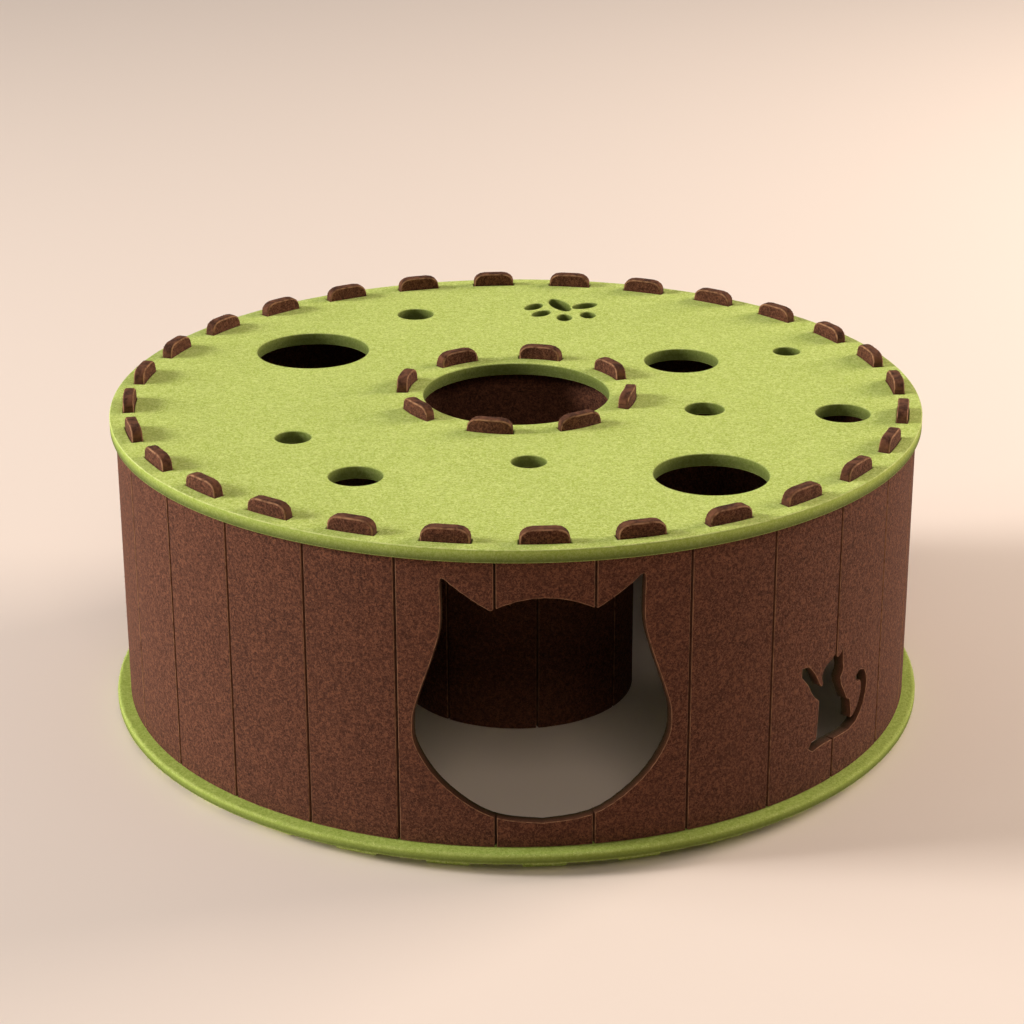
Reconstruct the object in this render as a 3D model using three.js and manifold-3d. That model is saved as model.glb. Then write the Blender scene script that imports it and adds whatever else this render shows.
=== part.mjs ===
// A round cat tunnel of pressed felt: a ring-shaped passage between two upright felt walls, under a
// flat felt disc. The walls end in tabs that stand up through slots in the disc, and a felt ring on
// short feet closes the foot of the outer wall. A cat-head doorway opens the outer wall at the front.
// Millimetres, +Z up, the front of the tunnel towards -Y. Angles run from the front towards +X.
import * as THREE from "three";
import { mergeVertices } from "three/addons/utils/BufferGeometryUtils.js";
import Module from "manifold-3d";

// Felt board
const FELT = 8; // thickness of the walls, the base ring and the feet
const DISC_FELT = 9.6; // thickness of the top disc
const GAP = 0.3; // clearance left between neighbouring pieces

// Heights above the floor
const RING_Z = 8.5; // underside of the base ring
const WALL_Z = RING_Z + FELT + GAP; // foot of the outer wall
const INNER_WALL_Z = 0; // foot of the inner wall, which stands on the floor
const DISC_Z = 225.4; // underside of the top disc
const TAB_TOP_Z = 245; // tips of the tabs above the disc

// Top disc and base ring
const DISC_R = 300;
const RING_R = 306;
const RING_IN_R = 264;
const ROUND_STEPS = 168;
const WELL = { x: 0.5, y: 6.4, r: 69.5, steps: 72 }; // opening in the middle of the disc

// Outer wall, bent from scored panels
const PANELS = 28;
const OUTER_R = 296; // outside face
const TAB_SET_BACK = 6; // the tabs stand this much inside the middle of the wall
const FIRST_TAB = 3.6; // angle of the first tab, in degrees
const SCORE_WIDTH = 2;
const SCORE_DEPTH = 5;

// The boards are modelled in sectors, so that the holes stay open in collision. These are the
// angles of the cuts: through the holes of the disc, and along the scores of the walls.
const DISC_CUTS = [3.3, 38.1, 77, 116, 159, 202.6, 237.1, 257, 300.7, 327.2];
const PANELS_PER_SECTOR = 4;
const INNER_PANELS_PER_SECTOR = 2;

// Inner wall, round the well
const INNER_PANELS = 8;
const INNER_R = 89.5; // outside face
const FIRST_INNER_TAB = -12.8;
const OUTER_TAB_R = OUTER_R - FELT / 2 - TAB_SET_BACK; // middle of the outer tabs
const INNER_TAB_R = INNER_R - FELT / 2; // middle of the inner tabs

// Tabs, the slots they stand in, and the feet
const TAB_WIDTH = 33;
const TAB_CORNER_WIDTH = 9;
const TAB_CORNER_HEIGHT = 7;
const TAB_ROOT_Z = 208; // foot of a tab's root, inside the wall
const SLOT_SPARE = 0.6; // how much longer than its tab a slot is, at each end
const FOOT_TOP = 34.8;
const FOOT_BOTTOM = 29;
const FOOT_R = 289.5; // middle of the feet

// Round play holes in the disc: centre and diameter
const PLAY_HOLES = [
  { x: -158.2, y: 109, d: 87, steps: 48 },
  { x: 134.3, y: -164.4, d: 80, steps: 48 },
  { x: 128.2, y: 81.5, d: 57, steps: 40 },
  { x: 239.1, y: -40.3, d: 40, steps: 32 },
  { x: -110.4, y: -166, d: 38, steps: 32 },
  { x: -81, y: 202.3, d: 29, steps: 24 },
  { x: 138.7, y: -30.3, d: 29, steps: 24 },
  { x: -159.2, y: -88.5, d: 26, steps: 24 },
  { x: 8.9, y: -138.9, d: 25, steps: 24 },
  { x: 211.8, y: 103.7, d: 21, steps: 20 },
];

// Six petal-shaped cuts near the back edge: centre, length, width, and lean of the long axis from
// the Y axis towards +X in degrees
const PETALS = [
  { x: 37, y: 226.5, length: 36, width: 15, lean: -20 },
  { x: 57, y: 224, length: 24, width: 14, lean: 58 },
  { x: 15.3, y: 222, length: 21, width: 12.5, lean: 34 },
  { x: 21.3, y: 203.5, length: 20, width: 12.5, lean: 40 },
  { x: 59.2, y: 198.9, length: 17.5, width: 12.7, lean: -6 },
  { x: 39.9, y: 192.3, length: 18.5, width: 12.4, lean: 0 },
];
const PETAL_STEPS = 16; // corners round a petal

// Doorway: right half of the cat head as it lies flat on the wall, x from the middle of the head
// and z above the floor, from under the chin up the cheek to the outside of the ear
const DOOR_ANGLE = 3.36;
const CHEEK = [
  { x: 0, z: 35 },
  { x: 35.5, z: 40.5 },
  { x: 66.5, z: 62 },
  { x: 84, z: 87.5 },
  { x: 86.6, z: 107 },
  { x: 83, z: 124 },
  { x: 72.8, z: 154.5 },
  { x: 67, z: 178 },
  { x: 67, z: 206.5 },
];
const EAR_TIP = { x: 65.8, z: 211.8 };
const EAR_NOTCH = { x: 34.4, z: 189.9 };
const CROWN_Z = 199.2; // top of the head between the ears

// Cut figure of a sitting cat with one paw up, to the right of the doorway
const FIGURE_ANGLE = 49.3;

const wasm = await Module();
wasm.setup();

const felt = (color) =>
  new THREE.MeshStandardMaterial({ color, roughness: 0.95, metalness: 0, flatShading: true });
const GREEN = 0xb6be60;
const BROWN = 0x5f3a29;

const radians = THREE.MathUtils.degToRad;

// The point at a radius and an angle round a centre in plan.
function at(radius, degrees, centre = { x: 0, y: 0 }) {
  const a = radians(degrees);
  return new THREE.Vector2(centre.x + radius * Math.sin(a), centre.y - radius * Math.cos(a));
}

// Points round a circle in plan.
function circle(radius, steps, centre) {
  return Array.from({ length: steps }, (_, i) => at(radius, (360 * i) / steps, centre));
}

// A closed geometry as a solid for cutting and joining.
function solid(geometry) {
  const bare = new THREE.BufferGeometry();
  bare.setAttribute("position", geometry.getAttribute("position"));
  const merged = mergeVertices(bare, 1e-4);
  return new wasm.Manifold(
    new wasm.Mesh({
      numProp: 3,
      vertProperties: new Float32Array(merged.attributes.position.array),
      triVerts: new Uint32Array(merged.index.array),
    }),
  );
}

// The geometry of a solid that was cut or joined.
function geometryOf(shape) {
  const { vertProperties, triVerts } = shape.getMesh();
  const geometry = new THREE.BufferGeometry();
  geometry.setAttribute("position", new THREE.BufferAttribute(vertProperties, 3));
  geometry.setIndex(new THREE.BufferAttribute(triVerts, 1));
  return geometry;
}

// An upright prism over a flat outline with holes.
function prism(outline, holes, low, high) {
  const shape = new THREE.Shape(outline);
  shape.holes = holes.map((points) => new THREE.Path(points));
  const geometry = new THREE.ExtrudeGeometry(shape, { depth: high - low, bevelEnabled: false });
  return geometry.translate(0, 0, low);
}

// A flat outline (x along the wall, y as height) made into a block and bent round an upright axis,
// so that its sides point at the axis as the sides of a cut in bent felt do.
function wrapped(shape, radius, degrees, inward, outward, centre = { x: 0, y: 0 }) {
  const geometry = new THREE.ExtrudeGeometry(shape, {
    depth: inward + outward,
    bevelEnabled: false,
    curveSegments: 10,
  });
  const p = geometry.getAttribute("position");
  for (let i = 0; i < p.count; i++) {
    const turn = degrees + THREE.MathUtils.radToDeg(p.getX(i) / radius);
    const flat = at(radius - inward + p.getZ(i), turn, centre);
    p.setXYZ(i, flat.x, flat.y, p.getY(i));
  }
  return geometry;
}

// Plan of a ring-shaped wall whose outside is scored between its panels.
function scoredRing(outside, panels, firstScore, stepsPerPanel, centre) {
  const pitch = 360 / panels;
  const half = THREE.MathUtils.radToDeg(SCORE_WIDTH / 2 / outside);
  const outline = [];
  for (let k = 0; k < panels; k++) {
    const a = firstScore + k * pitch;
    outline.push(
      at(outside, a - half, centre),
      at(outside - SCORE_DEPTH, a, centre),
      at(outside, a + half, centre),
    );
    for (let i = 1; i < stepsPerPanel; i++) {
      outline.push(at(outside, a + (i * pitch) / stepsPerPanel, centre));
    }
  }
  return outline;
}

// Front outline of a tab, with rounded upper corners.
function tabOutline() {
  const half = TAB_WIDTH / 2;
  const square = half - TAB_CORNER_WIDTH;
  const top = (x) => {
    const past = Math.max(Math.abs(x) - square, 0) / TAB_CORNER_WIDTH;
    return TAB_TOP_Z - TAB_CORNER_HEIGHT * (1 - Math.sqrt(1 - past ** 2));
  };
  const across = [half, half - 0.6, half - 2.2, half - 5, square, 0];
  return new THREE.Shape([
    new THREE.Vector2(-half - 5, TAB_ROOT_Z - 5),
    new THREE.Vector2(half + 5, TAB_ROOT_Z - 5),
    new THREE.Vector2(half + 5, top(half)),
    ...across.map((x) => new THREE.Vector2(x, top(x))),
    ...across.slice(0, -1).reverse().map((x) => new THREE.Vector2(-x, top(x))),
    new THREE.Vector2(-half - 5, top(half)),
  ]);
}

// Plan of a short piece of bent wall, from its middle radius and its half length and thickness.
function bentStrip(middle, halfLength, reach, degrees, centre) {
  const half = THREE.MathUtils.radToDeg(halfLength / middle);
  const turns = [-1, -0.6, -0.2, 0.2, 0.6, 1].map((s) => degrees + s * half);
  return [
    ...turns.map((t) => at(middle - reach, t, centre)),
    ...turns.reverse().map((t) => at(middle + reach, t, centre)),
  ];
}

// One tab, from its root inside the wall up to its tip.
function tab(middle, degrees, centre) {
  const plan = bentStrip(middle, TAB_WIDTH / 2, FELT / 2, degrees, centre);
  const outline = wrapped(tabOutline(), middle, degrees, 12, 12, centre);
  return solid(prism(plan, [], TAB_ROOT_Z, TAB_TOP_Z)).intersect(solid(outline));
}

// A wall with its row of tabs, as one piece: a scored ring up to the disc's underside, and tabs
// that are rooted in it and stand up through the disc.
function tabbedWall({ outside, panels, firstTab, steps, low, tabMiddle, centre }) {
  const plan = scoredRing(outside, panels, firstTab + 180 / panels, steps, centre);
  const bore = circle(outside - FELT, panels * steps, centre);
  let wall = solid(prism(plan, [bore], low, DISC_Z - GAP));
  for (let k = 0; k < panels; k++) {
    wall = wall.add(tab(tabMiddle, firstTab + (k * 360) / panels, centre));
  }
  return wall;
}

// Plan of the slot round one tab.
function slot(middle, degrees, centre) {
  const half = TAB_WIDTH / 2 + SLOT_SPARE;
  return bentStrip(middle, half, FELT / 2 + GAP + 0.1, degrees, centre);
}

// Plan of one petal: an oval, a little pointed along its length.
function petal({ x, y, length, width, lean }) {
  const turn = -radians(lean);
  return Array.from({ length: PETAL_STEPS }, (_, i) => {
    const a = (2 * Math.PI * i) / PETAL_STEPS;
    const across = (width / 2) * Math.sin(a) * (1 - 0.12 * Math.cos(a) ** 2);
    const point = new THREE.Vector2(across, (length / 2) * Math.cos(a));
    return point.rotateAround(new THREE.Vector2(), turn).add(new THREE.Vector2(x, y));
  });
}

// The top disc with its well, play holes, petals and slots.
function topDisc() {
  const holes = [
    circle(WELL.r, WELL.steps, WELL),
    ...PLAY_HOLES.map((h) => circle(h.d / 2, h.steps, h)),
    ...PETALS.map(petal),
  ];
  for (let k = 0; k < PANELS; k++) {
    holes.push(slot(OUTER_TAB_R, FIRST_TAB + (k * 360) / PANELS));
  }
  for (let k = 0; k < INNER_PANELS; k++) {
    const turn = FIRST_INNER_TAB + (k * 360) / INNER_PANELS;
    holes.push(slot(INNER_TAB_R, turn, WELL));
  }
  return solid(prism(circle(DISC_R, ROUND_STEPS), holes, DISC_Z, DISC_Z + DISC_FELT));
}

// The cat-head doorway as one flat outline, from its right half.
function doorOutline() {
  const half = new THREE.Path();
  half.moveTo(CHEEK[0].x, CHEEK[0].z);
  half.splineThru(CHEEK.slice(1).map((p) => new THREE.Vector2(p.x, p.z)));
  half.quadraticCurveTo(CHEEK.at(-1).x, EAR_TIP.z, EAR_TIP.x, EAR_TIP.z);
  half.quadraticCurveTo(EAR_TIP.x - 2, EAR_TIP.z, EAR_TIP.x - 5, EAR_TIP.z - 3.5);
  half.quadraticCurveTo(EAR_NOTCH.x + 13, EAR_NOTCH.z + 7.5, EAR_NOTCH.x, EAR_NOTCH.z);
  half.quadraticCurveTo(EAR_NOTCH.x / 2, CROWN_Z, 0, CROWN_Z);
  const right = half.getPoints(4);
  const left = right.slice(1, -1).map((p) => new THREE.Vector2(-p.x, p.y));
  return new THREE.Shape([...right, ...left.reverse()]);
}

// A band of even width with round ends along a bent middle line.
function band(line, width, steps = 10) {
  const curve = new THREE.SplineCurve(line.map(([x, z]) => new THREE.Vector2(x, z)));
  const edge = (sign) =>
    Array.from({ length: steps + 1 }, (_, i) => {
      const along = curve.getTangent(i / steps);
      const off = new THREE.Vector2(-along.y, along.x).multiplyScalar((sign * width) / 2);
      return curve.getPoint(i / steps).add(off);
    });
  const tip = curve.getPoint(1).addScaledVector(curve.getTangent(1), width / 2);
  const tail = curve.getPoint(0).addScaledVector(curve.getTangent(0), -width / 2);
  return new THREE.Shape([tail, ...edge(-1), tip, ...edge(1).reverse()]);
}

// An oval outline.
function oval(x, z, halfWidth, halfHeight, steps = 20) {
  const points = Array.from({ length: steps }, (_, i) => {
    const a = (2 * Math.PI * i) / steps;
    return new THREE.Vector2(x + halfWidth * Math.cos(a), z + halfHeight * Math.sin(a));
  });
  return new THREE.Shape(points);
}

// The parts of the cut cat figure, x from the middle of the figure and z above the floor.
function figureOutlines() {
  const chest = [[-22, 54], [16, 54], [12, 73], [4, 87], [1, 99], [-17, 99], [-21, 83]];
  const haunch = [[-22, 48], [17, 47], [18.5, 60], [16, 71], [0, 77], [-22, 65]];
  const ears = [[-15, 105], [-5, 113.5], [-2, 110], [0, 110], [4.5, 113.5], [5, 101]];
  const polygon = (points) => new THREE.Shape(points.map(([x, z]) => new THREE.Vector2(x, z)));
  return [
    polygon(chest),
    polygon(haunch),
    oval(-6.5, 100, 12.3, 10.2),
    polygon(ears),
    band([[-37, 110], [-30, 102], [-24, 92], [-14, 83]], 9),
    band([[-27, 49.6], [-15, 51.4], [4, 52]], 7.6),
    band([[12, 51], [24, 53], [33, 62.5], [36.5, 75], [33, 83.5], [27, 84.5]], 8),
  ];
}

// The outer wall: scored, with its tabs, the doorway and the cut figure.
function outerWall() {
  const middle = OUTER_R - FELT / 2;
  let wall = tabbedWall({
    outside: OUTER_R,
    panels: PANELS,
    firstTab: FIRST_TAB,
    steps: 6,
    low: WALL_Z,
    tabMiddle: OUTER_TAB_R,
    centre: { x: 0, y: 0 },
  });
  wall = wall.subtract(solid(wrapped(doorOutline(), middle, DOOR_ANGLE, 20, 30)));
  let figure = null;
  for (const outline of figureOutlines()) {
    const block = solid(wrapped(outline, middle, FIGURE_ANGLE, 15, 15));
    figure = figure ? figure.add(block) : block;
  }
  return wall.subtract(figure);
}

// The inner wall round the well, with its tabs.
function innerWall() {
  return tabbedWall({
    outside: INNER_R,
    panels: INNER_PANELS,
    firstTab: FIRST_INNER_TAB,
    steps: 10,
    low: INNER_WALL_Z,
    tabMiddle: INNER_TAB_R,
    centre: WELL,
  });
}

// One foot under the base ring, a little narrower at the floor.
function foot(degrees) {
  const shape = new THREE.Shape([
    new THREE.Vector2(-FOOT_BOTTOM / 2, 0),
    new THREE.Vector2(FOOT_BOTTOM / 2, 0),
    new THREE.Vector2(FOOT_TOP / 2, RING_Z - GAP),
    new THREE.Vector2(-FOOT_TOP / 2, RING_Z - GAP),
  ]);
  return wrapped(shape, FOOT_R, degrees, FELT / 2, FELT / 2);
}

// The base ring: closed with a square edge, a little wider than the disc.
function baseRing() {
  const bore = circle(RING_IN_R, ROUND_STEPS);
  return prism(circle(RING_R, ROUND_STEPS), [bore], RING_Z, RING_Z + FELT);
}

// The part of a board between two angles, drawn in by half the gap at both cuts.
function sector(board, from, to, centre) {
  const middle = (from + to) / 2;
  const tip = at(GAP / 2 / Math.sin(radians((to - from) / 2)), middle, centre);
  const outline = [tip, ...[from, middle, to].map((degrees) => at(1000, degrees, tip))];
  return geometryOf(board.intersect(solid(prism(outline, [], 0, TAB_TOP_Z + 1))));
}

// The angles of the cuts along every so many scores of a wall.
function scoreCuts(firstTab, panels, each) {
  const first = firstTab + 180 / panels;
  return Array.from({ length: panels / each }, (_, k) => first + (k * each * 360) / panels);
}

const group = new THREE.Group();
group.name = "felt_donut_cat_tunnel";

function addPiece(name, geometry, color) {
  const mesh = new THREE.Mesh(geometry, felt(color));
  mesh.name = name;
  group.add(mesh);
}

// Adds a board as its sectors.
function addSectors(name, board, cuts, color, centre) {
  cuts.forEach((from, k) => {
    const to = k + 1 < cuts.length ? cuts[k + 1] : cuts[0] + 360;
    addPiece(`${name}_${String(k + 1).padStart(2, "0")}`, sector(board, from, to, centre), color);
  });
}

const outerCuts = scoreCuts(FIRST_TAB, PANELS, PANELS_PER_SECTOR);
const innerCuts = scoreCuts(FIRST_INNER_TAB, INNER_PANELS, INNER_PANELS_PER_SECTOR);
addSectors("top_panel", topDisc(), DISC_CUTS, GREEN, WELL);
addSectors("outer_wall", outerWall(), outerCuts, BROWN, { x: 0, y: 0 });
addSectors("inner_wall", innerWall(), innerCuts, BROWN, WELL);
addPiece("base_ring", baseRing(), GREEN);
for (let k = 0; k < PANELS; k++) {
  const name = `foot_${String(k + 1).padStart(2, "0")}`;
  addPiece(name, foot(FIRST_TAB + (k * 360) / PANELS), GREEN);
}

export default group;
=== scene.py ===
"""Looks of a round cat tunnel of pressed felt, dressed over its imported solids.

Every board keeps the outline of its solids: its edges are softened, and its cut faces are told
apart from its flat ones. Short loose hairs are set along the rims of all boards but the disc.
Boards that the solids hold in sectors are whole again here. Metres, +Z up, front at -Y.
"""

import logging
import math
import random
from dataclasses import dataclass, field, replace
from enum import Enum
from typing import ClassVar

import bpy
from mathutils import Matrix, Vector


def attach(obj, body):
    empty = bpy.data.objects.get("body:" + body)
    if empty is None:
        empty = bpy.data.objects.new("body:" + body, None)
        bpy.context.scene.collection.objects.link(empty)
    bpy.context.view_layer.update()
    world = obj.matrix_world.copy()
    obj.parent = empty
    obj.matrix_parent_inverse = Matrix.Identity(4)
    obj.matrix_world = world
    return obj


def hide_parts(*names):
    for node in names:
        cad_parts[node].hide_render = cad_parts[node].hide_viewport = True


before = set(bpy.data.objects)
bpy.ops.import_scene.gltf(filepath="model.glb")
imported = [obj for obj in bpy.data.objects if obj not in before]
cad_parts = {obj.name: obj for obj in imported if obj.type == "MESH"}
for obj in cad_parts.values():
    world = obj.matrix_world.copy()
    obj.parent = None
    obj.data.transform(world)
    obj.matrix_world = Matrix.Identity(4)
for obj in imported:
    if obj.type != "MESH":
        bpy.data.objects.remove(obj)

log = logging.getLogger("cat_tunnel")

Colour = tuple[float, float, float, float]


def srgb(red: int, green: int, blue: int) -> Colour:
    """Turns a screen colour into the linear colour that a shader takes.

    Args:
        red: Red, from 0 to 255.
        green: Green, from 0 to 255.
        blue: Blue, from 0 to 255.

    Returns:
        The linear colour, opaque.
    """

    def linear(value: int) -> float:
        """Undoes the screen's curve for one channel."""
        v = value / 255
        return v / 12.92 if v <= 0.04045 else ((v + 0.055) / 1.055) ** 2.4

    return linear(red), linear(green), linear(blue), 1.0


class Lie(Enum):
    """How a felt board lies in the tunnel."""

    LEVEL = "level"
    UPRIGHT = "upright"


class NodeBuilder:
    """Adds and joins the nodes of one node tree."""

    def __init__(self, tree: bpy.types.NodeTree) -> None:
        """Keeps the tree that the nodes go into."""
        self.tree = tree

    def node(self, kind: str, **settings: object) -> bpy.types.Node:
        """Adds a node.

        Args:
            kind: The node's type name.
            **settings: Properties to set on it.

        Returns:
            The new node.
        """
        made = self.tree.nodes.new(kind)
        for name, value in settings.items():
            setattr(made, name, value)
        return made

    def feed(self, socket: bpy.types.NodeSocket, value: object) -> None:
        """Links an output to a socket, or sets the socket to a plain value."""
        if isinstance(value, bpy.types.NodeSocket):
            self.tree.links.new(value, socket)
        else:
            socket.default_value = value

    def noise(
        self,
        vector: object,
        scale: float,
        detail: float = 2.0,
        distortion: float = 0.0,
        depth: object = None,
    ) -> bpy.types.NodeSocket:
        """Adds a noise texture.

        Args:
            vector: Where the noise is read.
            scale: Features per metre.
            detail: Finer octaves.
            distortion: How much the noise bends itself.
            depth: A fourth coordinate, or None for plain noise in space.

        Returns:
            The noise's value, about 0.5 on average.
        """
        made = self.node("ShaderNodeTexNoise", noise_dimensions="3D" if depth is None else "4D")
        self.feed(made.inputs["Vector"], vector)
        made.inputs["Scale"].default_value = scale
        made.inputs["Detail"].default_value = detail
        made.inputs["Distortion"].default_value = distortion
        if depth is not None:
            self.feed(made.inputs["W"], depth)
        return made.outputs["Fac"]

    def shifted(self, vector: object, by: float) -> bpy.types.NodeSocket:
        """Moves a place to read a texture at."""
        made = self.node("ShaderNodeVectorMath", operation="ADD")
        self.feed(made.inputs[0], vector)
        made.inputs[1].default_value = (by, by, by)
        return made.outputs["Vector"]

    def maths(self, operation: str, a: object, b: object = 0.0) -> bpy.types.NodeSocket:
        """Adds a maths node and returns its result."""
        made = self.node("ShaderNodeMath", operation=operation)
        self.feed(made.inputs[0], a)
        self.feed(made.inputs[1], b)
        return made.outputs[0]

    def spread(
        self, value: object, low: float, high: float, to: float = 1.0
    ) -> bpy.types.NodeSocket:
        """Maps a value from one range to another and holds it at both ends.

        Args:
            value: The value to map.
            low: What becomes zero.
            high: What becomes the far end; it may be less than low.
            to: The far end.

        Returns:
            The mapped value.
        """
        made = self.node("ShaderNodeMapRange", clamp=True)
        self.feed(made.inputs["Value"], value)
        made.inputs["From Min"].default_value = low
        made.inputs["From Max"].default_value = high
        made.inputs["To Max"].default_value = to
        return made.outputs["Result"]

    def strand(self, value: object, width: float) -> bpy.types.NodeSocket:
        """Turns a noise into thin winding lines where it crosses its middle.

        Args:
            value: The noise.
            width: How far from the middle a line reaches.

        Returns:
            One in the middle of a line, falling to zero at its sides.
        """
        off = self.maths("ABSOLUTE", self.maths("SUBTRACT", value, 0.5))
        made = self.node("ShaderNodeMapRange", clamp=True)
        self.feed(made.inputs["Value"], off)
        made.inputs["From Min"].default_value = 0.0
        made.inputs["From Max"].default_value = width
        made.inputs["To Min"].default_value = 1.0
        made.inputs["To Max"].default_value = 0.0
        return made.outputs["Result"]

    def blend(self, share: object, first: object, second: object) -> bpy.types.NodeSocket:
        """Mixes two colours.

        Args:
            share: How much of the second colour is taken.
            first: One colour.
            second: The other colour.

        Returns:
            The mixed colour.
        """
        made = self.node("ShaderNodeMix", data_type="RGBA")
        self.feed(made.inputs[0], share)
        self.feed(made.inputs[6], first)
        self.feed(made.inputs[7], second)
        return made.outputs[2]


class FeltPattern:
    """The shader node group that gives every felt its matted hairs, mottling and cut layers,
    painted shade deep in its cut faces, and rims lighter partly from wear and partly as a painted
    highlight.
    """

    NAME = "matted_felt"
    COLOURS = ("Face", "Hair", "Shade", "Cut", "Rim")
    MASKS = ("Cut Mask", "Layer", "Rim Mask")

    # Features per metre
    MOTTLE = 14
    CLOUD = 120
    FLECK = 1100
    LAYERS = 150
    # the patches of the lighter rims, partly wear and partly a painted highlight
    RIM_PATCHES = 240

    # Hairs: how close together they lie and how thick they are
    LONG_HAIRS = (300, 0.1)
    SHORT_HAIRS = (480, 0.12)
    FINE_HAIRS = (820, 0.13)
    DARK_HAIRS = (340, 0.11)
    DARK_SHIFT = 3.7  # keeps the dark hairs off the light ones

    DEEP_SHADE = srgb(34, 38, 8)  # painted shade: a cut face where it is furthest from the light

    def group(self) -> bpy.types.NodeTree:
        """Returns the group, built on first use."""
        found = bpy.data.node_groups.get(self.NAME)
        return found if found else self._build()

    def _build(self) -> bpy.types.NodeTree:
        """Builds the group.

        Returns:
            The node group, with a colour and a height as outputs.
        """
        tree = bpy.data.node_groups.new(self.NAME, "ShaderNodeTree")
        sockets = tree.interface
        sockets.new_socket("Vector", in_out="INPUT", socket_type="NodeSocketVector")
        for name in self.COLOURS:
            sockets.new_socket(name, in_out="INPUT", socket_type="NodeSocketColor")
        for name in self.MASKS:
            sockets.new_socket(name, in_out="INPUT", socket_type="NodeSocketFloat")
        sockets.new_socket("Color", in_out="OUTPUT", socket_type="NodeSocketColor")
        sockets.new_socket("Height", in_out="OUTPUT", socket_type="NodeSocketFloat")

        b = NodeBuilder(tree)
        given = b.node("NodeGroupInput").outputs
        at = given["Vector"]
        mottle = b.spread(b.noise(at, self.MOTTLE, 3), 0.36, 0.66)
        cloud = b.spread(b.noise(at, self.CLOUD, 3), 0.36, 0.66)
        fleck = b.noise(at, self.FLECK, 2)
        long, short = self._hairs(b, at, *self.LONG_HAIRS), self._hairs(b, at, *self.SHORT_HAIRS)
        fine = b.maths("MULTIPLY", self._hairs(b, at, *self.FINE_HAIRS), 0.55)
        hair = b.maths("MAXIMUM", b.maths("MAXIMUM", long, short), fine)
        dark = self._hairs(b, b.shifted(at, self.DARK_SHIFT), *self.DARK_HAIRS)

        dull = b.maths("ADD", b.maths("MULTIPLY", mottle, 0.16), b.maths("MULTIPLY", cloud, 0.16))
        face = b.blend(dull, given["Face"], given["Shade"])
        face = b.blend(b.spread(fleck, 0.35, 0.75, 0.2), face, given["Shade"])
        face = b.blend(b.maths("MULTIPLY", dark, 0.75), face, given["Shade"])
        face = b.blend(b.maths("MULTIPLY", hair, 0.85), face, given["Hair"])

        layers = b.maths("MULTIPLY", given["Layer"], 6.0)
        layered = b.noise(at, self.LAYERS, 2, 0.4, layers)
        cut = b.blend(b.spread(layered, 0.38, 0.62, 0.85), given["Cut"], given["Shade"])
        cut = b.blend(b.maths("MULTIPLY", hair, 0.3), cut, given["Hair"])
        # Painted shade: cut faces darken towards the board's bottom or inner face.
        cut = b.blend(b.spread(given["Layer"], 0.8, 0.2, 0.7), cut, self.DEEP_SHADE)
        colour = b.blend(given["Cut Mask"], face, cut)
        # Lighter rims, partly wear and partly a painted highlight, strongest towards the board's
        # top or outer face.
        patchy = b.spread(b.noise(at, self.RIM_PATCHES, 2), 0.25, 0.6, 0.9)
        wear_and_highlight = b.maths("MULTIPLY", given["Rim Mask"], patchy)
        wear_and_highlight = b.maths("MULTIPLY", wear_and_highlight, b.spread(given["Layer"], 0.3, 0.8))
        colour = b.blend(wear_and_highlight, colour, given["Rim"])

        height = b.maths("ADD", b.maths("MULTIPLY", hair, 0.8), b.maths("MULTIPLY", fleck, 0.6))
        height = b.maths("ADD", height, b.maths("MULTIPLY", cloud, 0.5))
        ridges = b.maths("MULTIPLY", b.maths("MULTIPLY", layered, given["Cut Mask"]), 1.6)
        out = b.node("NodeGroupOutput")
        b.feed(out.inputs["Color"], colour)
        b.feed(out.inputs["Height"], b.maths("ADD", height, ridges))
        return tree

    def _hairs(
        self, b: NodeBuilder, at: object, scale: float, width: float
    ) -> bpy.types.NodeSocket:
        """Adds short winding hairs of one size.

        Args:
            b: The builder of the group's tree.
            at: Where the hairs are read.
            scale: How close together they lie.
            width: How thick they are.

        Returns:
            One on a hair and zero beside it.
        """
        lines = b.strand(b.noise(at, scale, 1.0, 1.4), width)
        return b.maths("MULTIPLY", lines, b.spread(b.noise(at, scale * 1.1, 1.0), 0.44, 0.56))


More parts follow.
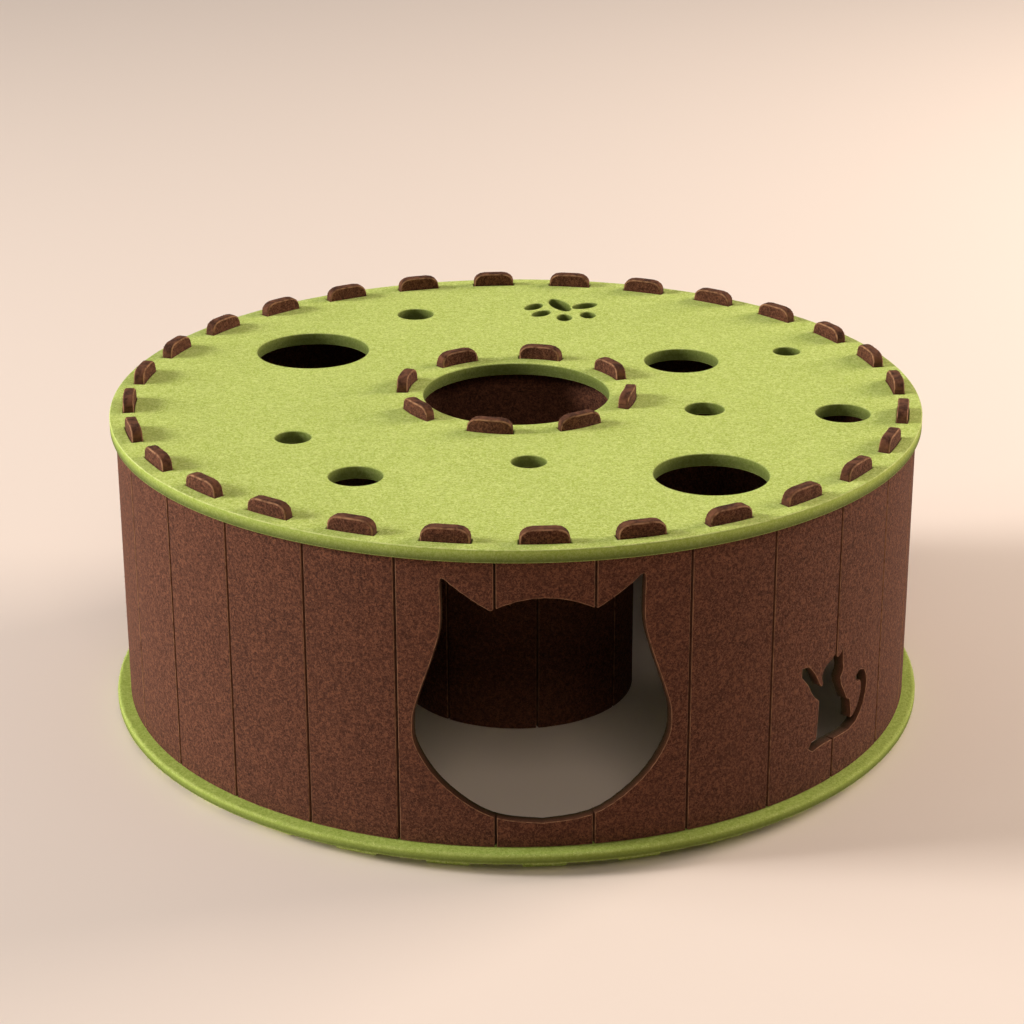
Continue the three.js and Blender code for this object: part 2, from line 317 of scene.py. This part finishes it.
@dataclass(frozen=True)
class FeltFinish:
    """One colour of pressed felt board."""

    slot: str
    face: Colour
    hair: Colour
    shade: Colour
    cut: Colour
    rim: Colour
    sheen: float = 0.03
    look: str = "pressed"

    def material(self) -> bpy.types.Material:
        """Returns the finish's material, built on first use.

        Returns:
            The material, which reads the piece's own cut, layer and rim attributes.
        """
        name = f"{self.slot}_{self.look}"
        found = bpy.data.materials.get(name)
        if found:
            return found
        made = bpy.data.materials.new(name)
        made.use_nodes = True
        b = NodeBuilder(made.node_tree)
        shader = made.node_tree.nodes["Principled BSDF"]
        shader.inputs["Roughness"].default_value = 0.95
        shader.inputs["Specular IOR Level"].default_value = 0.2
        shader.inputs["Sheen Weight"].default_value = self.sheen
        shader.inputs["Sheen Roughness"].default_value = 0.6
        shader.inputs["Sheen Tint"].default_value = self.hair
        pattern = b.node("ShaderNodeGroup", node_tree=FeltPattern().group())
        b.feed(pattern.inputs["Vector"], b.node("ShaderNodeTexCoord").outputs["Object"])
        tints = (self.face, self.hair, self.shade, self.cut, self.rim)
        for name, tint in zip(FeltPattern.COLOURS, tints):
            pattern.inputs[name].default_value = tint
        for name, attribute in zip(FeltPattern.MASKS, ("cut", "layer", "rim")):
            read = b.node("ShaderNodeAttribute", attribute_name=attribute)
            b.feed(pattern.inputs[name], read.outputs["Fac"])
        bump = b.node("ShaderNodeBump")
        bump.inputs["Strength"].default_value = 0.55
        bump.inputs["Distance"].default_value = 0.0007
        b.feed(bump.inputs["Height"], pattern.outputs["Height"])
        b.feed(shader.inputs["Base Color"], pattern.outputs["Color"])
        b.feed(shader.inputs["Normal"], bump.outputs["Normal"])
        return made

    def hair_material(self) -> bpy.types.Material:
        """Returns the material of the loose hairs in this colour.

        Returns:
            The material, whose tint differs from hair to hair.
        """
        name = f"{self.slot}_hair"
        found = bpy.data.materials.get(name)
        if found:
            return found
        made = bpy.data.materials.new(name)
        made.use_nodes = True
        b = NodeBuilder(made.node_tree)
        shader = made.node_tree.nodes["Principled BSDF"]
        shader.inputs["Roughness"].default_value = 0.9
        shader.inputs["Specular IOR Level"].default_value = 0.2
        tone = b.node("ShaderNodeAttribute", attribute_name="tone")
        b.feed(shader.inputs["Base Color"], b.blend(tone.outputs["Fac"], self.face, self.rim))
        return made


GREEN_FELT = FeltFinish(
    slot="felt_green",
    face=srgb(187, 204, 98),
    hair=srgb(224, 234, 150),
    shade=srgb(144, 162, 46),
    cut=srgb(152, 170, 82),
    rim=srgb(228, 233, 160),
)
BROWN_FELT = FeltFinish(
    slot="felt_brown",
    face=srgb(71, 38, 25),
    hair=srgb(122, 76, 54),
    shade=srgb(38, 18, 11),
    cut=srgb(108, 68, 48),
    rim=srgb(166, 122, 90),
)
# Painted shade: the base ring takes a darker copy of the green felt.
SHADED_RING_FELT = replace(
    GREEN_FELT,
    look="ring",
    face=srgb(154, 174, 76),
    hair=srgb(188, 202, 108),
    shade=srgb(128, 146, 50),
    cut=srgb(146, 162, 74),
)


@dataclass
class Board:
    """One piece of felt board, cut flat and then laid level or bent upright.

    Attributes:
        name: The name of its solid, or the part that its sectors' names share.
        sectors: How many solids hold it.
        finish: Its colour of felt.
        lie: How it lies.
        softness: How far its edges are rounded.
        tabs_from: The height from which it is only tabs, or None.
        tab_softness: How far the edges of its tabs are rounded.
        seam: How wide a cut between sectors is closed.
        wear_and_highlight: How much lighter its rims are, up to 1, partly from wear and partly as a
            painted highlight.
        centre: Where an upright board's axis stands.
        span: Between which heights or radii it lies.
        flat: Its length and width before it was bent; not used.
        area: Its area before it was bent; not used.
        held: How it is held; not used.
        rests_on: The pieces that it lies on; not used.
        piece: Its dressed piece, once it is built.
    """

    SHARP: ClassVar[float] = math.radians(32)
    BLUNT: ClassVar[float] = math.radians(50)
    FLAT_ABOVE: ClassVar[float] = 0.985
    CUT_BELOW: ClassVar[float] = 0.25

    name: str
    sectors: int
    finish: FeltFinish
    lie: Lie
    softness: float = 0.0011
    tabs_from: float | None = None
    tab_softness: float = 0.0015
    seam: float = 0.00045
    wear_and_highlight: float = 1.0
    centre: tuple[float, float] = (0.0, 0.0)
    span: tuple[float, float] = (0.0, 1.0)
    flat: tuple[float, float] | None = None
    area: float | None = None
    held: str = "laid"
    rests_on: tuple[str, ...] = ()
    piece: bpy.types.Object | None = field(default=None, repr=False)

    def build(self) -> bpy.types.Object:
        """Makes the dressed piece and hides its solids.

        Returns:
            The finished piece.
        """
        self._shape()
        self._mark_surface()
        self.piece.data.materials.clear()
        self.piece.data.materials.append(self.finish.material())
        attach(self.piece, "root")
        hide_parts(*self.nodes())
        return self.piece

    def declare(self) -> None:
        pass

    def _shape(self) -> None:
        """Makes the bare piece."""
        self.piece = self._copy_of_solids()
        self._soften_edges()

    def nodes(self) -> list[str]:
        """Lists the names of the board's solids."""
        if self.sectors == 1:
            return [self.name]
        return [f"{self.name}_{i:02d}" for i in range(1, self.sectors + 1)]

    def _copy_of_solids(self) -> bpy.types.Object:
        """Copies the board's solids as one mesh and closes the cuts between its sectors.

        Returns:
            The new piece.
        """
        bpy.ops.object.select_all(action="DESELECT")
        for node in self.nodes():
            copy = bpy.data.objects.new(f"{node}_felt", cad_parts[node].data.copy())
            bpy.context.scene.collection.objects.link(copy)
            copy.select_set(True)
            bpy.context.view_layer.objects.active = copy
        if self.sectors > 1:
            bpy.ops.object.join()
        piece = bpy.context.view_layer.objects.active
        piece.name = f"{self.name}_felt"
        bpy.ops.object.mode_set(mode="EDIT")
        bpy.ops.mesh.select_all(action="SELECT")
        bpy.ops.mesh.remove_doubles(threshold=1e-5)
        if self.sectors > 1:
            bpy.ops.mesh.remove_doubles(threshold=self.seam)
            bpy.ops.mesh.select_all(action="DESELECT")
            bpy.ops.mesh.select_mode(type="FACE")
            bpy.ops.mesh.select_interior_faces()
            bpy.ops.mesh.delete(type="FACE")
        bpy.ops.object.mode_set(mode="OBJECT")
        return piece

    def _soften_edges(self) -> None:
        """Rounds the cut edges, those of the tabs the most, and smooths the faces between."""
        self._weigh_edges()
        bevel = self.piece.modifiers.new("soft_edges", "BEVEL")
        bevel.width = self.tab_softness if self.tabs_from else self.softness
        bevel.segments = 4 if self.tabs_from else 3
        bevel.limit_method = "WEIGHT"
        bevel.loop_slide = False
        bevel.use_clamp_overlap = False
        bpy.ops.object.modifier_apply(modifier=bevel.name)
        self._smooth()

    def _smooth(self) -> None:
        """Shades the faces smooth across every blunt edge."""
        bpy.ops.object.shade_smooth_by_angle(angle=self.BLUNT)
        even = self.piece.modifiers.new("even_normals", "WEIGHTED_NORMAL")
        even.keep_sharp = True
        even.weight = 100
        bpy.ops.object.modifier_apply(modifier=even.name)

    def _weigh_edges(self) -> None:
        """Says how round each sharp edge becomes."""
        mesh = self.piece.data
        beside: dict[tuple[int, int], list[Vector]] = {}
        for face in mesh.polygons:
            for key in face.edge_keys:
                beside.setdefault(key, []).append(face.normal)
        weights = []
        for edge in mesh.edges:
            normals = beside.get(edge.key, [])
            sharp = len(normals) == 2 and normals[0].angle(normals[1], 0.0) > self.SHARP
            high = sum(mesh.vertices[v].co.z for v in edge.vertices) / 2
            on_tab = self.tabs_from is not None and high > self.tabs_from
            full = 1.0 if on_tab or not self.tabs_from else self.softness / self.tab_softness
            weights.append(full if sharp else 0.0)
        mesh.attributes.new("bevel_weight_edge", "FLOAT", "EDGE")
        mesh.attributes["bevel_weight_edge"].data.foreach_set("value", weights)

    def _outward(self, point: Vector) -> Vector:
        """Returns the direction square to the board at a point."""
        if self.lie is Lie.LEVEL:
            return Vector((0, 0, 1))
        return Vector((point.x - self.centre[0], point.y - self.centre[1], 0)).normalized()

    def _depth(self, point: Vector) -> float:
        """Returns how far through the board a point lies, from 0 to 1, and 1 on the tabs."""
        low, high = self.span
        if self.tabs_from and point.z > self.tabs_from:
            return 1.0
        if self.lie is Lie.LEVEL:
            return (point.z - low) / (high - low)
        reach = math.hypot(point.x - self.centre[0], point.y - self.centre[1])
        return (reach - low) / (high - low)

    def _mark_surface(self) -> None:
        """Writes the cut, layer and rim attributes that the felt pattern reads."""
        mesh = self.piece.data
        flat_near = [False] * len(mesh.vertices)
        cut_near = [False] * len(mesh.vertices)
        for face in mesh.polygons:
            squareness = abs(face.normal.dot(self._outward(face.center)))
            for v in face.vertices:
                flat_near[v] |= squareness > self.FLAT_ABOVE
                cut_near[v] |= squareness < self.CUT_BELOW
        for name in ("cut", "layer", "rim"):
            mesh.attributes.new(name, "FLOAT", "POINT")
        cut = [0.0 if f else (1.0 if c else 0.5) for f, c in zip(flat_near, cut_near)]
        # Rim vertices take the lighter-rim amount: partly wear, partly painted highlight.
        rim = [0.0 if f or c else self.wear_and_highlight for f, c in zip(flat_near, cut_near)]
        layer = [self._depth(v.co) for v in mesh.vertices]
        mesh.attributes["cut"].data.foreach_set("value", cut)
        mesh.attributes["layer"].data.foreach_set("value", layer)
        mesh.attributes["rim"].data.foreach_set("value", rim)

    def rim_faces(self) -> list[tuple[list[Vector], Vector, float]]:
        """Lists the narrow faces along the softened edges, which carry the loose hairs.

        Only an edge that is rounded in three steps or more has faces wholly on its rim. The
        disc's edges are rounded in two, so it has none and carries no hairs.

        Returns:
            For each face its corners, its normal and its area.
        """
        mesh = self.piece.data
        rim = [0.0] * len(mesh.vertices)
        mesh.attributes["rim"].data.foreach_get("value", rim)
        found = []
        for face in mesh.polygons:
            if len(face.vertices) == 4 and all(rim[v] > 0.0 for v in face.vertices):
                corners = [mesh.vertices[v].co.copy() for v in face.vertices]
                found.append((corners, face.normal.copy(), face.area))
        return found


SLIM_ENDS = 0.12  # how much the ends of a petal are slimmer than those of an ellipse


def around(
    centre: tuple[float, float], across: float, along: float, lean: float, steps: int
) -> list[Vector]:
    """Lists points round an oval with slim ends in plan, or round a circle.

    Args:
        centre: Its middle.
        across: Its half width.
        along: Its half length.
        lean: Turn of its length from the Y axis towards +X, in degrees.
        steps: How many points.

    Returns:
        The points, all at height zero.
    """
    turn = math.radians(lean)
    points = []
    for i in range(steps):
        a = 2 * math.pi * i / steps
        x = across * math.sin(a) * (1 - SLIM_ENDS * math.cos(a) ** 2 * (across != along))
        y = along * math.cos(a)
        far_x = centre[0] + x * math.cos(turn) + y * math.sin(turn)
        far_y = centre[1] - x * math.sin(turn) + y * math.cos(turn)
        points.append(Vector((far_x, far_y, 0)))
    return points


@dataclass
class PunchedDisc(Board):
    """A round board with holes, petals and slots punched through it."""

    # How many points draw each outline
    EDGE_STEPS: ClassVar[int] = 336
    WELL_STEPS: ClassVar[int] = 120
    WIDE_HOLE_STEPS: ClassVar[int] = 72
    SMALL_HOLE_STEPS: ClassVar[int] = 44
    PETAL_STEPS: ClassVar[int] = 32

    WIDE_FROM: ClassVar[float] = 0.02  # a hole with a larger radius is a wide one
    OUTER_EDGE: ClassVar[float] = 0.003  # how far in from the radius the outer edge reaches
    HOLE_SHADE_SHARE: ClassVar[float] = 0.4  # the share of the depth that counts in the holes, which paints shade on their walls

    radius: float = 0.3
    well: tuple[float, float, float] = (0.0005, 0.0064, 0.0695)
    holes: tuple[tuple[float, float, float], ...] = (
        (-0.1582, 0.1090, 0.0435),
        (0.1343, -0.1644, 0.0400),
        (0.1282, 0.0815, 0.0285),
        (0.2391, -0.0403, 0.0200),
        (-0.1104, -0.1660, 0.0190),
        (-0.0810, 0.2023, 0.0145),
        (0.1387, -0.0303, 0.0145),
        (-0.1592, -0.0885, 0.0130),
        (0.0089, -0.1389, 0.0125),
        (0.2118, 0.1037, 0.0105),
    )
    petals: tuple[tuple[float, float, float, float, float], ...] = (
        (0.0370, 0.2265, 0.0360, 0.0150, -20),
        (0.0570, 0.2240, 0.0240, 0.0140, 58),
        (0.0153, 0.2220, 0.0210, 0.0125, 34),
        (0.0213, 0.2035, 0.0200, 0.0125, 40),
        (0.0592, 0.1989, 0.0175, 0.0127, -6),
        (0.0399, 0.1923, 0.0185, 0.0124, 0),
    )
    slot_rows: tuple[tuple[float, float, float, float, int], ...] = (
        (0.0, 0.0, 0.2860, 3.6, 28),
        (0.0005, 0.0064, 0.0855, -12.8, 8),
    )
    slot_reach: float = 0.0042
    slot_half: float = 0.0171

    def _shape(self) -> None:
        """Fills the outlines as one board with soft edges."""
        bpy.ops.object.select_all(action="DESELECT")
        bpy.ops.curve.primitive_bezier_circle_add(location=(0, 0, 0))
        drawn = bpy.context.active_object
        drawn.name = f"{self.name}_felt"
        curve = drawn.data
        curve.splines.clear()
        curve.dimensions = "2D"
        curve.fill_mode = "BOTH"
        for points in self._outlines():
            line = curve.splines.new("POLY")
            line.points.add(len(points) - 1)
            line.points.foreach_set("co", [c for p in points for c in (p.x, p.y, 0.0, 1.0)])
            line.use_cyclic_u = True
        low, high = self.span
        curve.bevel_depth = self.softness
        curve.bevel_resolution = 1
        curve.offset = -self.softness
        curve.extrude = (high - low) / 2 - self.softness
        bpy.ops.object.convert(target="MESH")
        self.piece = bpy.context.active_object
        self.piece.data.transform(Matrix.Translation((0, 0, (low + high) / 2)))
        bpy.ops.object.mode_set(mode="EDIT")
        bpy.ops.mesh.select_all(action="SELECT")
        bpy.ops.mesh.remove_doubles(threshold=1e-6)
        bpy.ops.mesh.normals_make_consistent(inside=False)
        bpy.ops.object.mode_set(mode="OBJECT")
        self._smooth()

    def _depth(self, point: Vector) -> float:
        """Returns the depth through the board, less in the holes, whose walls get more painted
        shade.
        """
        inside = math.hypot(point.x, point.y) < self.radius - self.OUTER_EDGE
        return super()._depth(point) * (self.HOLE_SHADE_SHARE if inside else 1.0)

    def _outlines(self) -> list[list[Vector]]:
        """Lists the outlines of the disc and of everything punched through it."""
        found = [around((0, 0), self.radius, self.radius, 0, self.EDGE_STEPS)]
        x, y, r = self.well
        found.append(around((x, y), r, r, 0, self.WELL_STEPS))
        for x, y, r in self.holes:
            steps = self.WIDE_HOLE_STEPS if r > self.WIDE_FROM else self.SMALL_HOLE_STEPS
            found.append(around((x, y), r, r, 0, steps))
        for x, y, h, w, lean in self.petals:
            found.append(around((x, y), w / 2, h / 2, lean, self.PETAL_STEPS))
        for x, y, middle, first, count in self.slot_rows:
            half = self.slot_half / middle
            for k in range(count):
                turn = math.radians(first + 360 * k / count)
                turns = [turn + half * (i / 4 - 1) for i in range(9)]
                ring = [(middle - self.slot_reach, t) for t in turns]
                ring += [(middle + self.slot_reach, t) for t in reversed(turns)]
                found.append(
                    [Vector((x + r * math.sin(t), y - r * math.cos(t), 0)) for r, t in ring]
                )
        return found


@dataclass
class RimHairs:
    """Short loose hairs along the cut edges of boards of one colour."""

    THIRDS: ClassVar[tuple[float, ...]] = (0, 2.094, 4.189)  # a hair has three sides, in radians

    name: str
    finish: FeltFinish
    count: int
    length: float = 0.0026
    radius: float = 0.00008
    seed: int = 7

    def build(self, boards: list[Board]) -> bpy.types.Object:
        """Sets the hairs along the rims.

        Args:
            boards: The boards that carry them.

        Returns:
            The piece that holds all the hairs.
        """
        dice = random.Random(self.seed)
        faces = [f for board in boards for f in board.rim_faces()]
        picked = dice.choices(faces, weights=[f[2] for f in faces], k=self.count)
        points: list[Vector] = []
        polygons: list[tuple[int, ...]] = []
        tones: list[float] = []
        for corners, normal, _ in picked:
            start = len(points)
            tone = dice.random()
            hair = self._hair(dice, corners, normal)
            points.extend(hair)
            tones.extend([tone] * len(hair))
            ring = [(0, 1), (1, 2), (2, 0)]
            polygons.extend((start + a, start + b, start + b + 3, start + a + 3) for a, b in ring)
            polygons.extend((start + a + 3, start + b + 3, start + 6) for a, b in ring)
        mesh = bpy.data.meshes.new(self.name)
        mesh.from_pydata([tuple(p) for p in points], [], polygons)
        mesh.attributes.new("tone", "FLOAT", "POINT")
        mesh.attributes["tone"].data.foreach_set("value", tones)
        mesh.materials.append(self.finish.hair_material())
        piece = bpy.data.objects.new(self.name, mesh)
        bpy.context.scene.collection.objects.link(piece)
        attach(piece, "root")
        return piece

    def _hair(self, dice: random.Random, corners: list[Vector], normal: Vector) -> list[Vector]:
        """Works out the points of one bent, pointed hair.

        Args:
            dice: The source of chance.
            corners: The corners of the face that it grows from.
            normal: That face's normal.

        Returns:
            Three points at its root, three at its bend and its tip.
        """
        u, v = dice.random(), dice.random()
        low = corners[0].lerp(corners[1], u)
        high = corners[3].lerp(corners[2], u)
        root = low.lerp(high, v) - normal * 0.0001
        stray = Vector((dice.gauss(0, 1), dice.gauss(0, 1), dice.gauss(0, 1)))
        stray -= normal * stray.dot(normal)
        length = self.length * dice.uniform(0.3, 1.0) ** 1.5
        rise = (normal * dice.uniform(0.15, 0.8) + stray * 0.6).normalized()
        bend = root + rise * length * 0.5
        turn = Vector((dice.gauss(0, 1), dice.gauss(0, 1), dice.gauss(0, 1))) * 0.5
        tip = bend + (rise + turn).normalized() * length * 0.5
        side = rise.orthogonal().normalized()
        other = rise.cross(side)
        spokes = [side * math.cos(a) + other * math.sin(a) for a in self.THIRDS]
        thick = self.radius * dice.uniform(0.7, 1.3)
        foot = [root + s * thick for s in spokes]
        knee = [bend + s * thick * 0.8 for s in spokes]
        return [*foot, *knee, tip]


@dataclass
class CatTunnel:
    """The whole tunnel: a disc, two walls, a base ring and its feet."""

    feet: int = 28
    hairs: int = 14000
    tab_root: float = 0.003
    board: float = 0.008
    disc_board: float = 0.0096
    disc_z: float = 0.2254
    ring_z: float = 0.0085
    outer_radius: float = 0.296
    foot_radius: float = 0.2895
    inner_radius: float = 0.0895
    well: tuple[float, float] = (0.0005, 0.0064)

    def boards(self) -> list[Board]:
        """Lists the boards to dress.

        Returns:
            The disc, the walls, the base ring and the feet, in that order.
        """
        disc = PunchedDisc(
            "top_panel",
            10,
            GREEN_FELT,
            Lie.LEVEL,
            span=(self.disc_z, self.disc_z + self.disc_board),
            softness=0.0009,
            wear_and_highlight=0.8,
            flat=(0.6, 0.6),
            area=0.2363,
            rests_on=("outer_wall_felt", "inner_wall_felt"),
        )
        outer = Board(
            "outer_wall",
            7,
            BROWN_FELT,
            Lie.UPRIGHT,
            softness=0.0006,
            span=(self.outer_radius - self.board, self.outer_radius),
            tabs_from=self.disc_z + self.tab_root,
            flat=(1.835, 0.2282),
            area=0.3818,
            held="folded",
            rests_on=("base_ring_felt",),
        )
        inner = Board(
            "inner_wall",
            4,
            BROWN_FELT,
            Lie.UPRIGHT,
            softness=0.0006,
            centre=self.well,
            span=(self.inner_radius - self.board, self.inner_radius),
            tabs_from=self.disc_z + self.tab_root,
            flat=(0.537, 0.245),
            area=0.1246,
            held="folded",
        )
        ring = Board(
            "base_ring",
            1,
            SHADED_RING_FELT,
            Lie.LEVEL,
            span=(self.ring_z, self.ring_z + self.board),
            softness=0.0024,
            wear_and_highlight=0.15,
            flat=(1.791, 0.042),
            area=0.0752,
            rests_on=tuple(f"foot_{i:02d}_felt" for i in range(1, self.feet + 1)),
        )
        span = (self.foot_radius - self.board / 2, self.foot_radius + self.board / 2)
        feet = [
            Board(f"foot_{i:02d}", 1, GREEN_FELT, Lie.UPRIGHT, softness=0.0009, span=span)
            for i in range(1, self.feet + 1)
        ]
        return [disc, outer, inner, ring, *feet]

    def build(self) -> None:
        boards = self.boards()
        for board in boards:
            piece = board.build()
            log.info("%s: %d faces", piece.name, len(piece.data.polygons))
        for board in boards:
            board.declare()
        green = [b for b in boards if b.finish is not BROWN_FELT]
        brown = [b for b in boards if b.finish is BROWN_FELT]
        for hairs, carriers in (
            (RimHairs("green_rim_hairs", GREEN_FELT, self.hairs, seed=11), green),
            (RimHairs("brown_rim_hairs", BROWN_FELT, self.hairs, length=0.002, seed=23), brown),
        ):
            piece = hairs.build(carriers)
            log.info("%s: %d faces", piece.name, len(piece.data.polygons))


@dataclass(frozen=True)
class SoftPanel:
    """A square soft light that faces the tunnel."""

    name: str
    place: tuple[float, float, float]
    size: float
    power: float
    tint: tuple[float, float, float] = (1.0, 0.98, 0.94)

    def hang(self, target: Vector) -> None:
        """Adds the light and turns it to the target."""
        place = Vector(self.place)
        bpy.ops.object.light_add(type="AREA", location=place)
        light = bpy.context.active_object
        light.name = self.name
        light.data.size = self.size
        light.data.energy = self.power
        light.data.color = self.tint
        light.rotation_euler = (place - target).to_track_quat("Z", "Y").to_euler()


@dataclass
class Studio:
    """A plain pale floor, a low sun, four soft panels and a camera at the photograph's angle."""

    floor_size: float = 24.0
    floor_colour: Colour = srgb(234, 218, 208)
    sun_height: float = 24.0
    sun_bearing: float = -90.0
    sun_strength: float = 2.35
    sun_angle: float = 13.0
    panels: tuple[SoftPanel, ...] = (
        SoftPanel("overhead", (0.0, 0.2, 4.0), 4.0, 10.0),
        SoftPanel("right_side", (3.1, 1.3, 1.2), 1.8, 150.0, (1.0, 0.87, 0.74)),
        SoftPanel("left_side", (-3.3, 0.15, 0.72), 1.8, 110.0),
        SoftPanel("front", (0.2, -2.6, 2.45), 1.2, 22.0, (1.0, 0.87, 0.74)),
    )
    lit: tuple[float, float, float] = (0.0, 0.0, 0.12)
    sky_strength: float = 0.15
    lens: float = 94.28
    eye: tuple[float, float, float] = (-0.0030, -1.8880, 0.8942)
    look_down: float = 21.73
    roll: float = -0.17

    def build(self) -> None:
        """Builds the floor, the lights and the camera."""
        self._floor()
        self._lights()
        self._camera()

    def _floor(self) -> None:
        """Adds the floor."""
        bpy.ops.object.select_all(action="DESELECT")
        bpy.ops.mesh.primitive_plane_add(size=self.floor_size, location=(0, 0, 0))
        floor = bpy.context.active_object
        floor.name = "floor"
        made = bpy.data.materials.new("pale_floor")
        made.use_nodes = True
        shader = made.node_tree.nodes["Principled BSDF"]
        shader.inputs["Base Color"].default_value = self.floor_colour
        shader.inputs["Roughness"].default_value = 0.8
        shader.inputs["Specular IOR Level"].default_value = 0.25
        floor.data.materials.append(made)

    def _lights(self) -> None:
        """Adds the sun, the panels and the even light of the room."""
        bpy.ops.object.light_add(type="SUN", location=(-3, -1, 3))
        sun = bpy.context.active_object
        sun.name = "low_sun"
        sun.data.energy = self.sun_strength
        sun.data.angle = math.radians(self.sun_angle)
        sun.data.color = (1.0, 0.97, 0.92)
        tilt, turn = math.radians(self.sun_height), math.radians(self.sun_bearing)
        toward = Vector(
            (math.sin(turn) * math.cos(tilt), -math.cos(turn) * math.cos(tilt), math.sin(tilt))
        )
        sun.rotation_euler = toward.to_track_quat("Z", "Y").to_euler()
        for panel in self.panels:
            panel.hang(Vector(self.lit))
        world = bpy.data.worlds.new("room")
        bpy.context.scene.world = world
        world.use_nodes = True
        sky = world.node_tree.nodes["Background"]
        sky.inputs["Color"].default_value = (1.0, 0.97, 0.92, 1.0)
        sky.inputs["Strength"].default_value = self.sky_strength

    def _camera(self) -> None:
        """Adds the camera."""
        bpy.ops.object.camera_add(location=self.eye)
        camera = bpy.context.active_object
        camera.name = "photo_camera"
        camera.data.lens = self.lens
        camera.data.sensor_width = 36.0
        turn = Matrix.Rotation(math.radians(90 - self.look_down), 3, "X")
        camera.rotation_euler = (turn @ Matrix.Rotation(math.radians(self.roll), 3, "Z")).to_euler()
        bpy.context.scene.camera = camera


def main() -> None:
    """Builds the tunnel and the studio round it."""
    logging.basicConfig(level=logging.INFO, format="%(message)s")
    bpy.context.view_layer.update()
    CatTunnel().build()
    Studio().build()
    bpy.context.scene.view_settings.view_transform = "Standard"


if __name__ == "__main__":
    main()
